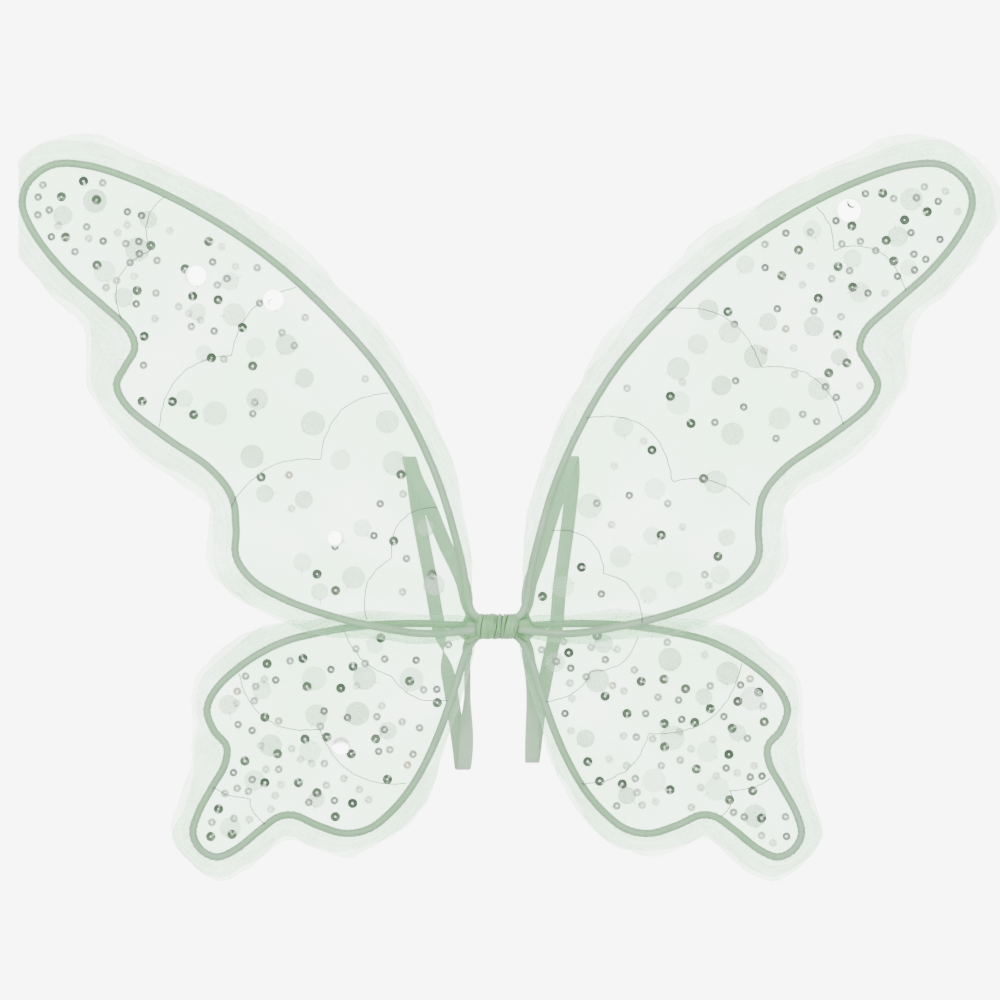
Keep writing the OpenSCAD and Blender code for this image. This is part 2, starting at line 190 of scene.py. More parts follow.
def add_object(name, mesh, material):
    obj = bpy.data.objects.new(name, mesh)
    bpy.context.scene.collection.objects.link(obj)
    if material:
        mesh.materials.append(material)
    return obj


def mesh_object(name, verts, faces, material, shade_smooth=True, uvs=None, tints=None, margins=None):
    """A mesh from lists. uvs holds one pair and tints one colour for each vertex."""
    mesh = bpy.data.meshes.new(name)
    mesh.from_pydata([tuple(v) for v in verts], [], faces)
    mesh.update()
    if uvs:
        layer = mesh.uv_layers.new(name="UVMap")
        for loop in mesh.loops:
            layer.data[loop.index].uv = uvs[loop.vertex_index]
    for layer_name, values in (("Tint", tints), ("Margin", margins)):
        if values:
            colours = mesh.color_attributes.new(layer_name, "FLOAT_COLOR", "POINT")
            colours.data.foreach_set("color", [c for value in values for c in value])
    mesh.polygons.foreach_set("use_smooth", [shade_smooth] * len(mesh.polygons))
    return add_object(name, mesh, material)


class Build:
    """Collects the pieces of one mesh."""

    def __init__(self):
        self.verts, self.faces, self.uvs, self.tints = [], [], [], []

    def add(self, verts, faces, uvs=None, tint=None):
        base = len(self.verts)
        self.verts += verts
        self.faces += [tuple(base + i for i in f) for f in faces]
        if uvs:
            self.uvs += uvs
        if tint:
            self.tints += tint

    def make(self, name, material, shade_smooth=True):
        return mesh_object(name, self.verts, self.faces, material, shade_smooth, self.uvs, self.tints)


def ring_faces(rings, sides, flip=False):
    """Quads that join rings of vertices into a skin, and one face over each end."""
    faces = []
    for i in range(rings - 1):
        for k in range(sides):
            a, b = i * sides + k, i * sides + (k + 1) % sides
            faces.append((a, a + sides, b + sides, b) if flip else (a, b, b + sides, a + sides))
    ends = [list(range(sides)), [(rings - 1) * sides + k for k in range(sides)]]
    ends[1 if flip else 0].reverse()
    return faces + [tuple(end) for end in ends]


def swept(path, across, away, profile):
    """Rings of profile(i) points, (a, b) along across[i] and away[i], joined into a skin with closed ends."""
    verts, uvs = [], []
    lengths = run_lengths(path)
    for i, p in enumerate(path):
        ring = profile(i)
        girth = 0.0
        for k, (a, b) in enumerate(ring):
            verts.append(p + across[i] * a + away[i] * b)
            uvs.append((lengths[i], girth))
            nxt = ring[(k + 1) % len(ring)]
            girth += math.hypot(nxt[0] - a, nxt[1] - b)
    return verts, ring_faces(len(path), len(ring)), uvs


def carried_frames(path, start):
    """Two directions square to the path, carried along it without twisting."""
    t = tangents(path)
    across, away = [], []
    w = Vector(start)
    for d in t:
        w = (w - w.dot(d) * d).normalized()
        across.append(w)
        away.append(d.cross(w).normalized())
    return across, away


def round_profile(ra, rb, sides):
    """An ellipse as a ring of points."""
    return [(ra * math.cos(2 * math.pi * k / sides), rb * math.sin(2 * math.pi * k / sides))
            for k in range(sides)]


# ---------------------------------------------------------------- materials


class Nodes:
    """A small helper that makes and links shader nodes."""

    def __init__(self, name, kind="materials"):
        self.material = getattr(bpy.data, kind).new(name)
        self.material.use_nodes = True
        self.tree = self.material.node_tree
        self.tree.nodes.clear()

    def node(self, kind, **values):
        n = self.tree.nodes.new("ShaderNode" + kind)
        for key, value in values.items():
            if key in n.inputs:
                self.set(n.inputs[key], value)
            else:
                setattr(n, key, value)
        return n

    def set(self, socket, value):
        if isinstance(value, bpy.types.NodeSocket):
            self.tree.links.new(value, socket)
        else:
            socket.default_value = value

    def math(self, operation, a, b=0.0, clamp=False):
        n = self.node("Math", operation=operation, use_clamp=clamp)
        self.set(n.inputs[0], a)
        self.set(n.inputs[1], b)
        return n.outputs[0]

    def ramp(self, fac, stops):
        n = self.node("ValToRGB")
        self.set(n.inputs["Fac"], fac)
        elements = n.color_ramp.elements
        while len(elements) < len(stops):
            elements.new(0.5)
        for e, (place, colour) in zip(elements, stops):
            e.position, e.color = place, (*colour, 1)
        return n.outputs["Color"]

    def multiply(self, a, b):
        n = self.node("Mix", data_type="RGBA", blend_type="MULTIPLY")
        n.inputs[0].default_value = 1.0
        self.set(n.inputs[6], a)
        self.set(n.inputs[7], b)
        return n.outputs[2]

    def uv(self):
        return self.node("UVMap", uv_map="UVMap").outputs["UV"]

    def place(self):
        return self.node("TexCoord").outputs["Object"]

    def stretch(self, vector, scale, turn=(0, 0, 0)):
        return self.node("Mapping", Vector=vector, Scale=scale, Rotation=turn).outputs["Vector"]

    def noise(self, vector, scale, detail=3.0, rough=0.5):
        n = self.node("TexNoise", Vector=vector, Scale=scale, Detail=detail, Roughness=rough)
        return n.outputs["Fac"]

    def finish(self, shader):
        out = self.node("OutputMaterial")
        self.tree.links.new(shader, out.inputs["Surface"])
        return self.material


def satin(name, light, dark, shaded=False):
    """Satin ribbon: fine ribs across it, soft lengthwise streaks and a broad sheen."""
    n = Nodes(name)
    uv = n.uv()
    streaks = n.noise(n.stretch(uv, (30, 900, 1)), 1.0, 2.0)
    patches = n.noise(n.place(), 60, 3.0)
    shade = n.math("ADD", n.math("MULTIPLY", streaks, 0.65), n.math("MULTIPLY", patches, 0.35))
    colour = n.ramp(shade, [(0.3, dark), (0.7, light)])
    if shaded:
        # the mesh's Tint multiplies in painted shade, darker in creases and gather hollows
        tint = n.node("Attribute", attribute_name="Tint")
        colour = n.multiply(colour, tint.outputs["Color"])
    else:
        worn = n.ramp(n.noise(n.place(), 16, 2.0), [(0.42, (0.92, 0.97, 0.90)), (0.58, (1.1, 0.975, 1.1))])
        colour = n.multiply(colour, worn)
    ribs = n.node("TexWave", Vector=uv, Scale=700, Distortion=0.6, Detail=1.0)
    ribs.bands_direction = "X"
    bump = n.node("Bump", Strength=0.25, Distance=0.00012,
                  Height=n.math("ADD", n.math("MULTIPLY", ribs.outputs["Fac"], 0.4), streaks))
    shader = n.node("BsdfPrincipled", Roughness=0.42)
    n.set(shader.inputs["Base Color"], colour)
    n.set(shader.inputs["Normal"], bump.outputs["Normal"])
    shader.inputs["Sheen Weight"].default_value = 0.25
    shader.inputs["Sheen Roughness"].default_value = 0.4
    shader.inputs["Specular IOR Level"].default_value = 0.35
    return n.finish(shader.outputs[0])


def elastic(name, light, dark):
    """Flat woven elastic: ribs along its length with fine cross threads between them."""
    n = Nodes(name)
    uv = n.uv()
    ribs = n.node("TexWave", Vector=uv, Scale=280, Distortion=0.3, Detail=1.0)
    ribs.bands_direction = "Y"
    cross = n.node("TexWave", Vector=uv, Scale=420, Distortion=0.5, Detail=1.0)
    cross.bands_direction = "X"
    weave = n.math("ADD", n.math("MULTIPLY", ribs.outputs["Fac"], 0.7),
                   n.math("MULTIPLY", cross.outputs["Fac"], 0.3))
    patches = n.noise(n.place(), 45, 3.0)
    shade = n.math("ADD", n.math("MULTIPLY", weave, 0.45), n.math("MULTIPLY", patches, 0.55))
    shader = n.node("BsdfPrincipled", Roughness=0.75)
    n.set(shader.inputs["Base Color"], n.ramp(shade, [(0.25, dark), (0.7, light)]))
    bump = n.node("Bump", Strength=0.5, Distance=0.0002, Height=weave)
    n.set(shader.inputs["Normal"], bump.outputs["Normal"])
    shader.inputs["Sheen Weight"].default_value = 0.3
    return n.finish(shader.outputs[0])


def tulle(name, tint, cover):
    """Sheer net: hexagon-like openings of about a millimetre, denser along soft creases."""
    n = Nodes(name)
    place = n.place()
    flat = n.stretch(place, (1, 0, 1))
    net = n.node("TexVoronoi", Vector=flat, Scale=1150.0, feature="DISTANCE_TO_EDGE")
    thread = n.math("LESS_THAN", net.outputs["Distance"], 0.12)
    creases = n.noise(n.stretch(n.uv(), (7, 75, 1)), 1.0, 4.0, 0.6)
    clouds = n.noise(n.stretch(n.uv(), (9, 9, 1)), 1.0, 2.0)
    body = n.math("ADD", n.math("MULTIPLY", creases, 0.6), n.math("MULTIPLY", clouds, 0.6))
    margin = n.node("Attribute", attribute_name="Margin")
    folds = n.noise(margin.outputs["Vector"], 1.0, 2.0)
    off_ridge = n.math("ABSOLUTE", n.math("MULTIPLY", n.math("SUBTRACT", folds, 0.5), 5.0))
    ridge = n.math("POWER", n.math("SUBTRACT", 1.0, off_ridge, True), 3.0)
    ridge = n.math("MULTIPLY", ridge, margin.outputs["Alpha"])
    density = n.math("MULTIPLY", n.math("POWER", body, 1.8), cover * 1.6)
    density = n.math("ADD", density, n.math("MULTIPLY", ridge, cover * 0.8))
    opacity = n.math("ADD", n.math("MULTIPLY", density, 0.75), n.math("MULTIPLY", thread, cover * 0.9))
    opacity = n.math("MULTIPLY", opacity, n.node("Attribute", attribute_name="Tint").outputs["Fac"], True)
    diffuse = n.node("BsdfDiffuse", Color=(*tint, 1), Roughness=0.5)
    through = n.node("BsdfTranslucent", Color=(*tint, 1))
    cloth = n.node("MixShader", Fac=0.45)
    n.tree.links.new(diffuse.outputs[0], cloth.inputs[1])
    n.tree.links.new(through.outputs[0], cloth.inputs[2])
    tone = n.ramp(clouds, [(0.35, (0.885, 0.968, 0.89)), (0.65, (0.795, 0.955, 0.805))])
    clear = n.node("BsdfTransparent", Color=tone)
    whole = n.node("MixShader")
    n.set(whole.inputs["Fac"], opacity)
    n.tree.links.new(clear.outputs[0], whole.inputs[1])
    n.tree.links.new(cloth.outputs[0], whole.inputs[2])
    return n.finish(whole.outputs[0])


def sequin(name, roughness, metallic, clear=False, grain=900):
    """Sequin plastic: the tint comes from the mesh, with fine scratches."""
    n = Nodes(name)
    tint = n.node("Attribute", attribute_name="Tint")
    specks = n.noise(n.place(), grain, 2.0)
    tone = n.node("HueSaturation", Color=tint.outputs["Color"],
                  Value=n.math("ADD", n.math("MULTIPLY", specks, 0.3), 0.85))
    bump = n.node("Bump", Strength=0.1, Distance=0.00005, Height=specks)
    shader = n.node("BsdfPrincipled", Roughness=roughness, Metallic=metallic)
    n.set(shader.inputs["Base Color"], tone.outputs["Color"])
    n.set(shader.inputs["Normal"], bump.outputs["Normal"])
    shader.inputs["Coat Weight"].default_value = 0.5
    shader.inputs["Coat Roughness"].default_value = 0.12
    if clear:
        n.set(shader.inputs["Alpha"], tint.outputs["Alpha"])
    return n.finish(shader.outputs[0])


def thread_material(name, colour):
    """Twisted sewing thread."""
    n = Nodes(name)
    along = n.stretch(n.place(), (1, 1, 1), (0, 0.6, 0.6))
    twist = n.node("TexWave", Vector=along, Scale=600, Distortion=1.0)
    shader = n.node("BsdfPrincipled", Roughness=0.7)
    dark = tuple(c * 0.7 for c in colour)
    n.set(shader.inputs["Base Color"], n.ramp(twist.outputs["Fac"], [(0.2, dark), (0.8, colour)]))
    shader.inputs["Sheen Weight"].default_value = 0.3
    return n.finish(shader.outputs[0])


def steel(name):
    """Drawn spring steel."""
    n = Nodes(name)
    drawn = n.noise(n.place(), 500, 3.0)
    shader = n.node("BsdfPrincipled", Metallic=1.0)
    n.set(shader.inputs["Base Color"], n.ramp(drawn, [(0.3, (0.4, 0.41, 0.42)), (0.7, (0.62, 0.62, 0.63))]))
    n.set(shader.inputs["Roughness"], n.math("ADD", n.math("MULTIPLY", drawn, 0.3), 0.2))
    return n.finish(shader.outputs[0])


def silver_plastic(name):
    """Mirror-bright coated plastic."""
    n = Nodes(name)
    specks = n.noise(n.place(), 700, 2.0)
    shader = n.node("BsdfPrincipled", Metallic=1.0)
    n.set(shader.inputs["Base Color"], n.ramp(specks, [(0.3, (0.86, 0.88, 0.86)), (0.7, (0.93, 0.94, 0.93))]))
    n.set(shader.inputs["Roughness"], n.math("ADD", n.math("MULTIPLY", specks, 0.06), 0.06))
    return n.finish(shader.outputs[0])


def cotton(name, colour):
    """Plain-woven white tape."""
    n = Nodes(name)
    weave = n.node("TexChecker", Vector=n.place(), Scale=2500.0)
    grime = n.noise(n.place(), 120, 3.0)
    shade = n.math("ADD", n.math("MULTIPLY", weave.outputs["Fac"], 0.25), n.math("MULTIPLY", grime, 0.6))
    shader = n.node("BsdfPrincipled", Roughness=0.9)
    n.set(shader.inputs["Base Color"], n.ramp(shade, [(0.2, tuple(c * 0.8 for c in colour)), (0.7, colour)]))
    bump = n.node("Bump", Strength=0.4, Distance=0.0001, Height=weave.outputs["Fac"])
    n.set(shader.inputs["Normal"], bump.outputs["Normal"])
    return n.finish(shader.outputs[0])


SATIN = satin("satin_ribbon", (0.225, 0.415, 0.23), (0.15, 0.315, 0.16))
BINDING_SATIN = satin("binding_satin", (0.17, 0.355, 0.16), (0.11, 0.265, 0.11), True)
ELASTIC = elastic("sage_elastic", (0.32, 0.48, 0.32), (0.23, 0.37, 0.24))
TULLE = tulle("mint_tulle", (0.56, 0.76, 0.58), 0.15)
DARK = sequin("dark_sequin", 0.28, 0.55)
RING = sequin("ring_sequin", 0.2, 0.1, clear=True)
PAILLETTE = sequin("paillette", 0.3, 0.0, clear=True, grain=120)
THREAD = thread_material("grey_thread", (0.075, 0.095, 0.08))
SEAM_THREAD = thread_material("seam_thread", (0.24, 0.36, 0.25))
SILVER = silver_plastic("silver_paillette")
STEEL = steel("spring_steel")
TAPE = cotton("cloth_tape", (0.75, 0.75, 0.72))

# ---------------------------------------------------------------- camera, light and stage


def make_camera():
    """Straight from the front and without perspective, as the photograph looks."""
    data = bpy.data.cameras.new("camera")
    data.type = "ORTHO"
    data.ortho_scale = VIEW_WIDTH
    cam = bpy.data.objects.new("camera", data)
    cam.location = (0.002, -2.5, 0.091)
    cam.rotation_euler = (math.radians(90), 0, 0)
    bpy.context.scene.collection.objects.link(cam)
    bpy.context.scene.camera = cam


def make_light():
    """A white studio: an even world with a bright screen before and behind, and three soft lamps."""
    n = Nodes("studio", "worlds")
    parts = n.node("SeparateXYZ")
    n.set(parts.inputs[0], n.node("TexCoord").outputs["Generated"])
    ahead = parts.outputs["Y"]
    even_light = n.node("Value")
    even_light.outputs[0].default_value = 2.0
    light = even_light.outputs[0]
    for toward, power in ((ahead, 5.9), (n.math("MULTIPLY", ahead, -1.0), 8.0)):
        screen = n.node("MapRange", Value=toward, interpolation_type="SMOOTHSTEP")
        for key, value in (("From Min", 0.955), ("From Max", 0.985), ("To Min", 0.0), ("To Max", power)):
            screen.inputs[key].default_value = value
        light = n.math("ADD", light, screen.outputs[0])
    back = n.node("Background", Color=(1, 1, 1, 1), Strength=light)
    n.tree.links.new(back.outputs[0], n.node("OutputWorld").inputs["Surface"])
    bpy.context.scene.world = n.material
    lamps = (("key", (-0.9, -1.5, 1.3), 1.2, 20), ("fill", (1.4, -1.3, 0.3), 1.4, 6),
             ("rear", (0.6, 1.6, 1.0), 1.4, 14))
    for name, place, size, power in lamps:
        data = bpy.data.lights.new(name, "AREA")
        data.size, data.energy = size, power
        lamp = bpy.data.objects.new(name, data)
        lamp.location = place
        lamp.rotation_euler = (Vector((0, 0, 0.05)) - Vector(place)).to_track_quat("-Z", "Y").to_euler()
        bpy.context.scene.collection.objects.link(lamp)


def make_floor():
    """A pale disc well under the wings."""
    n = Nodes("pale_floor")
    grain = n.noise(n.place(), 6, 2.0)
    shader = n.node("BsdfPrincipled", Roughness=0.9)
    n.set(shader.inputs["Base Color"], n.ramp(grain, [(0.3, (0.86, 0.86, 0.86)), (0.7, (0.9, 0.9, 0.9))]))
    bpy.ops.mesh.primitive_circle_add(vertices=96, radius=1.6, fill_type="NGON", location=(0, 0, -0.275))
    floor = bpy.context.object
    floor.name = "floor"
    floor.data.materials.append(n.finish(shader.outputs[0]))


make_camera()
make_light()
make_floor()

# ---------------------------------------------------------------- frames


def frame_line(level):
    """Middle line of one right-hand frame, from inside the binding, round the wing and back again."""
    y = WING_Y[level] / MM
    toward = -1 if level == "upper" else 1

    def by_binding(past_end, off_middle, z):
        return (BINDING_END / MM + past_end, MIDDLE_Y / MM + off_middle * toward, z)

    def past_fold(z):
        return (FOLD_X / MM + 8, y, z)

    if level == "upper":
        way_out = [by_binding(-4, 2.4, 4.2), by_binding(3.2, 3.6, 10.5)]
        way_in = [past_fold(-4.2), by_binding(2, 3.3, -2.2), by_binding(-4, 2.4, -1.6)]
    else:
        way_out = [by_binding(-4, 2.4, 1.4), by_binding(2, 3.3, 1.0), past_fold(1.0)]
        way_in = [by_binding(4.6, 3.9, -13.5), by_binding(-4, 2.4, -4.4)]
    points = way_out + [(x, y, z) for x, z in OUTLINE[level]] + way_in
    return even([p * MM for p in smooth(points, 12)], FRAME_STEP * MM)


def mirrored(points, side):
    return [Vector((p.x * SIDES[side], p.y, p.z)) for p in points]


def make_sleeve(side, level):
    """Satin ribbon folded round the wire, puckered where the frame bends, with its seam outside."""
    path = mirrored(frame_line(level), side)
    across, away = carried_frames(path, (0, 1, 0))
    seed = 11 if side == "left" else 57
    sleeve_sides = 20
    half_depth, half_width = 2.55 * MM, 2.8 * MM
    turn = [(b - a).length for a, b in zip(tangents(path), tangents(path)[1:])] + [0.0]

    def profile(i):
        s = i * FRAME_STEP
        bend = min(1.0, sum(turn[max(0, i - 4):i + 5]) * 1.4)
        ring = []
        for k, (a, b) in enumerate(round_profile(1.0, 1.0, sleeve_sides)):
            angle = 2 * math.pi * k / sleeve_sides
            fold = noise.noise(Vector((s * 0.09, math.cos(angle) * 0.9 + seed, math.sin(angle) * 0.9)))
            pucker = bend * 0.09 * math.sin(s * 1.7 + 2.0 * math.cos(angle + seed))
            grow = 1 + 0.06 * fold + pucker
            ring.append((a * half_depth * grow, b * half_width * grow))
        return ring

    verts, faces, uvs = swept(path, across, away, profile)
    name = f"{side}_{level}_sleeve"
    obj = mesh_object("satin_" + name, verts, faces, SATIN, True, uvs)
    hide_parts(name)
    return obj, path, away


def make_seam(side, level, path, away):
    """Zigzag stitches along both edges of the ribbon, on the decorated face."""
    b = Build()
    step, ends_free = 2, 14
    narrow, broad = 1.6 * MM, 2.1 * MM
    forward = Vector((0, -2.0 * MM, 0))
    seam_thread = (0.14 * MM, 0.2 * MM)
    for edge in (-1, 1):
        for i in range(ends_free, len(path) - ends_free, step):
            j = i + step
            here, there = (broad, narrow) if i // step % 2 else (narrow, broad)
            p = path[i] + away[i] * edge * here + forward
            q = path[j] + away[j] * edge * there + forward
            line = [p, mix(p, q, 0.5) - Vector((0, 0.12 * MM, 0)), q]
            fa, fb = carried_frames(line, (0, 1, 0))
            verts, faces, uvs = swept(line, fa, fb, lambda _: round_profile(*seam_thread, THREAD_SIDES))
            b.add(verts, faces, uvs)
    obj = b.make(f"{side}_{level}_seam", SEAM_THREAD)
    return obj


def fold_blend(obj):
    """The piece's placement is baked into its mesh; it is not bent at the fold line between the binding and
    its wing.
    """
    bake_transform(obj)


# ---------------------------------------------------------------- tulle


def edge_line(level, layer, seed):
    """Raw edge of one tulle panel of a right wing, in millimetres, from the binding round the wing."""
    outline = [Vector(p) for p in OUTLINE[level]]
    full = 20.0 * (1 if layer == "front" else 0.8)
    thin = 1 if level == "upper" else 0.85
    directions = tangents(outline)
    edge = []
    for i in EDGE_POINTS[level]:
        t = directions[i]
        margin = min(full, 3 + outline[i].length / 12)
        margin *= 1 + 0.12 * math.sin(math.radians(i * (115 if layer == "front" else 155)))
        edge.append(outline[i] + Vector((-t.y, t.x)) * margin * thin)
    ends = ([Vector((15.5, 7.5)), Vector((18, 20))], [Vector((26, -9)), Vector((15.0, -3.5))])
    if level == "lower":
        ends = ([Vector((15.0, 3.5)), Vector((26, 8))], [Vector((17.5, -22)), Vector((15.0, -7.0))])
    line = even(smooth(ends[0] + edge + ends[1], 10), EDGE_STEP)
    along = tangents(line)
    total = len(line) - 1
    result = []
    for k, p in enumerate(line):
        hold = ease(min(k, total - k) * EDGE_STEP / 90)
        s = k * EDGE_STEP
        wave = 4.6 * noise.noise(Vector((s / 48, seed, 0))) + 1.6 * noise.noise(Vector((s / 15, seed, 5)))
        nick = 0.45 * noise.noise(Vector((s / 2.4, seed, 9)))
        outward = Vector((-along[k].y, along[k].x))
        result.append(p + outward * hold * (wave + nick))
    return result


def nearest_on_frame(p, frame_mm):
    """Distance from p to the frame line, and how far along the line the nearest point is, in millimetres."""
    coarse = min(range(0, len(frame_mm), 3), key=lambda i: (p - frame_mm[i]).length_squared)
    close = min(range(max(0, coarse - 3), min(len(frame_mm), coarse + 4)),
                key=lambda i: (p - frame_mm[i]).length_squared)
    return (p - frame_mm[close]).length, close * FRAME_STEP


def cloth_offset(gap):
    """How far a panel inside the frame stands off the wing's middle plane, in millimetres."""
    return 0.35 + 2.1 * (1 - math.exp(-gap / 11))


def inside_loop(p, loop):
    """Whether the point p lies inside a closed loop of points."""
    hit = False
    for a, b in zip(loop, loop[1:] + loop[:1]):
        if (a.y > p.y) != (b.y > p.y) and p.x < (b.x - a.x) * (p.y - a.y) / (b.y - a.y) + a.x:
            hit = not hit
    return hit


def panel_points(outline):
    """Points of a panel: its edge, a row just inside it, and a triangular grid clear of both."""
    pitch, row_share, cell, clearance, inset = 5.0, 0.866, 8, 2.4, 0.55
    low_x, low_y = (min(values) for values in zip(*outline))
    high_x, high_y = (max(values) for values in zip(*outline))
    points = list(outline)
    along = tangents(outline)
    points += [q + Vector((t.y, -t.x)) * inset for q, t in zip(outline[2:-2], along[2:-2])]
    cells = {}
    for q in points:
        cells.setdefault((int(q.x // cell), int(q.y // cell)), []).append(q)
    for r in range(int((high_y - low_y) / (pitch * row_share)) + 1):
        for c in range(int((high_x - low_x) / pitch) + 1):
            q = Vector((low_x + (c + 0.5 * (r % 2)) * pitch, low_y + r * pitch * row_share))
            cx, cy = int(q.x // cell), int(q.y // cell)
            near = [e for dx in (-1, 0, 1) for dy in (-1, 0, 1) for e in cells.get((cx + dx, cy + dy), [])]
            if all((q - e).length > clearance for e in near) and inside_loop(q, outline):
                points.append(q)
    return points


def make_tulle(side, level, layer):
    """One panel of net: stretched and gently bowed inside the frame, with a wavy raw edge outside it."""
    sign = SIDES[side]
    seed = {"front": 3, "back": 29}[layer] + (0 if side == "left" else 100) + (0 if level == "upper" else 50)
    facing = -1 if layer == "front" else 1
    far = TULLE_REACH[side] - (0 if layer == "front" else 1.2)
    outline = [Vector((min(p.x, far + 0.6 * noise.noise(Vector((p.y / 7, seed, 1)))), p.y))
               for p in edge_line(level, layer, seed)]
    frame_mm = [Vector((p.x, p.z)) / MM for p in frame_line(level)]
    edge = list(range(len(outline)))
    verts2, _, faces, origins, *_ = geometry.delaunay_2d_cdt(panel_points(outline), [], [edge], 1, 1e-4)
    wing_mm, middle_mm = WING_Y[level] / MM, MIDDLE_Y / MM
    verts, uvs, tints, margins = [], [], [], []
    for p, origin in zip(verts2, origins):
        gap, s = nearest_on_frame(p, frame_mm)
        within = inside_loop(p, frame_mm)
        ripple = noise.noise(Vector((s / 22, seed, 0))) + 0.6 * noise.noise(Vector((s / 9, seed, 3)))
        if within:
            off = facing * cloth_offset(gap)
            off += 0.3 * noise.noise(Vector((p.x / 30, p.y / 30, seed))) * ease(gap / 20)
        else:
            off = facing * (0.35 + 0.9 * ease(gap / 8)) + 2.4 * ripple * ease(gap / 16)
        root = ease((p.x - BINDING_END / MM) / 15)
        plane = mix(mix(middle_mm, wing_mm, 0.5), wing_mm, root)
        verts.append(Vector((sign * p.x, plane + off * mix(0.4, 1.0, root), p.y)) * MM)
        angle = math.atan2(p.y, p.x)
        uvs.append((p.length * MM, angle * 0.25))
        thick = 1.0 if within else 1.4 + 0.5 * max(-1.0, min(1.0, ripple))
        if origin and min(origin) < len(edge):
            thick = 3.2 + ripple
        tints.append((thick, thick, thick, 1))
        margins.append((s / 42, gap / 4.5 + s / 150, seed, 0.0 if within else 1.0))
    if facing * sign > 0:
        faces = [tuple(reversed(f)) for f in faces]
    name = f"{side}_{level}_{layer}_tulle"
    obj = mesh_object("net_" + name, verts, [tuple(f) for f in faces], TULLE, True, uvs, tints, margins)
    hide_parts(name)
    fold_blend(obj)


# ---------------------------------------------------------------- trimmings


def discs_of(node, level):
    """Centre, with Y on the front panel, and radius of each separate disc in a CAD node, in metres."""
    frame_mm = [Vector((p.x, p.z)) / MM for p in frame_line(level)]
    b = bmesh.new()
    b.from_mesh(frame["nodes"][node].data)
    bmesh.ops.remove_doubles(b, verts=b.verts, dist=2e-6)
    seen, result = set(), []
    for v in b.verts:
        if v.index in seen:
            continue
        stack, group = [v], []
        seen.add(v.index)
        while stack:
            w = stack.pop()
            group.append(w.co.copy())
            for e in w.link_edges:
                o = e.other_vert(w)
                if o.index not in seen:
                    seen.add(o.index)
                    stack.append(o)
        low = Vector(map(min, zip(*group)))
        high = Vector(map(max, zip(*group)))
        centre = (low + high) / 2
        gap = nearest_on_frame(Vector((abs(centre.x), centre.z)) / MM, frame_mm)[0]
        centre.y = WING_Y[level] - cloth_offset(gap) * MM
        result.append((centre, (high.x - low.x) / 2))
    b.free()
    result.sort(key=lambda d: (round(d[0].x, 5), round(d[0].z, 5)))
    return result


def lathe(profile, segments, centre, tilt, spin, colours):
    """A turned shape that faces the decorated side. profile is (radius, height) round a closed section."""
    verts, tints = [], []
    count = len(profile)
    for k in range(segments):
        a = 2 * math.pi * k / segments + spin
        for (r, h), c in zip(profile, colours):
            v = Vector((r * math.cos(a), -h, r * math.sin(a)))
            v.y += v.x * tilt[0] + v.z * tilt[1]
            verts.append(centre + v)
            tints.append(c)
    faces = []
    for k in range(segments):
        j = (k + 1) % segments
        for i in range(count):
            m = (i + 1) % count
            faces.append((k * count + i, k * count + m, j * count + m, j * count + i))
    return verts, faces, tints


def stitch(b, points, r):
    """A short round thread of radius r along a few points."""
    fa, fb = carried_frames(points, (0.3, 1, 0.2))
    verts, faces, _ = swept(points, fa, fb, lambda _: round_profile(r, r, THREAD_SIDES))
    b.add(verts, faces)


def make_cups(side, level, kind, threads):
    """Cup sequins on the front panel, each tacked down over its rim."""
    node = f"{side}_{level}_{kind}"
    dark = kind == "dark_sequins"
    dice = random.Random(node)
    thick = 0.12 * MM
    b = Build()
    for centre, r in discs_of(node, level):
        r *= 1.06
        centre.y -= 0.45 * MM
        tone = dice.random()
        # painted highlight: each cup's heart is painted paler than its rim, for the glint and hole in its
        # middle; the rim keeps the sequin's own tone, which varies at random
        if dark:
            rim = mix(Vector((0.022, 0.055, 0.024)), Vector((0.07, 0.125, 0.066)), tone)
            highlight_heart = mix(Vector((0.30, 0.42, 0.31)), Vector((0.85, 0.92, 0.85)), dice.random())
            rim, highlight_heart = (*rim, 1.0), (*highlight_heart, 1.0)
            depth, segments = 0.95 * MM, 12
        else:
            grey = mix(Vector((0.26, 0.31, 0.27)), Vector((0.08, 0.12, 0.09)), tone * tone)
            if dice.random() < 0.08:
                grey = Vector((0.45, 0.45, 0.28))
            rim = (*grey, mix(0.3, 1.0, tone))
            highlight_heart = (0.80, 0.84, 0.80, 0.5)
            depth, segments = 0.6 * MM, 14
        hole, flat = 0.5 * MM, r * (dice.uniform(0.14, 0.3) if dark else 0.32)
        profile = [(hole, 0), (flat, 0.05 * MM), (flat * 1.15, 0.12 * MM), (r, depth),
                   (r, depth + thick), (flat * 1.12, 0.12 * MM + thick), (flat * 0.95, thick + 0.05 * MM),
                   (hole, thick)]
        colours = [highlight_heart, highlight_heart, rim, rim, rim, rim, highlight_heart, highlight_heart]
        tilt = (dice.uniform(-0.2, 0.2), dice.uniform(-0.2, 0.2))
        verts, faces, tints = lathe(profile, segments, centre, tilt, dice.uniform(0, 6.28), colours)
        if dark:
            # painted highlight: up to two facets get a bright tint, standing in for the glints of a crinkled
            # cup
            for _ in range(dice.choice((0, 1, 1, 2))):
                facet = dice.randrange(segments) * len(profile)
                for i in range(facet, facet + len(profile)):
                    tints[i] = (0.42, 0.58, 0.42, 1.0)
        b.add(verts, faces, None, tints)
        a = dice.uniform(0, 6.28)
        out = Vector((math.cos(a), 0, math.sin(a)))
        stitch(threads, [centre + Vector((0, 0.4 * MM, 0)), centre - Vector((0, 0.5 * MM, 0)),
                         centre + out * r * 0.55 - Vector((0, 0.95 * MM, 0)),
                         centre + out * (r + 0.35 * MM) - Vector((0, depth, 0)),
                         centre + out * (r + 0.9 * MM) + Vector((0, 0.4 * MM, 0))], 0.13 * MM)
    obj = b.make("cups_" + node, DARK if dark else RING, False)
    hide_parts(node)
    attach(obj, f"{side}_{level}_wing")


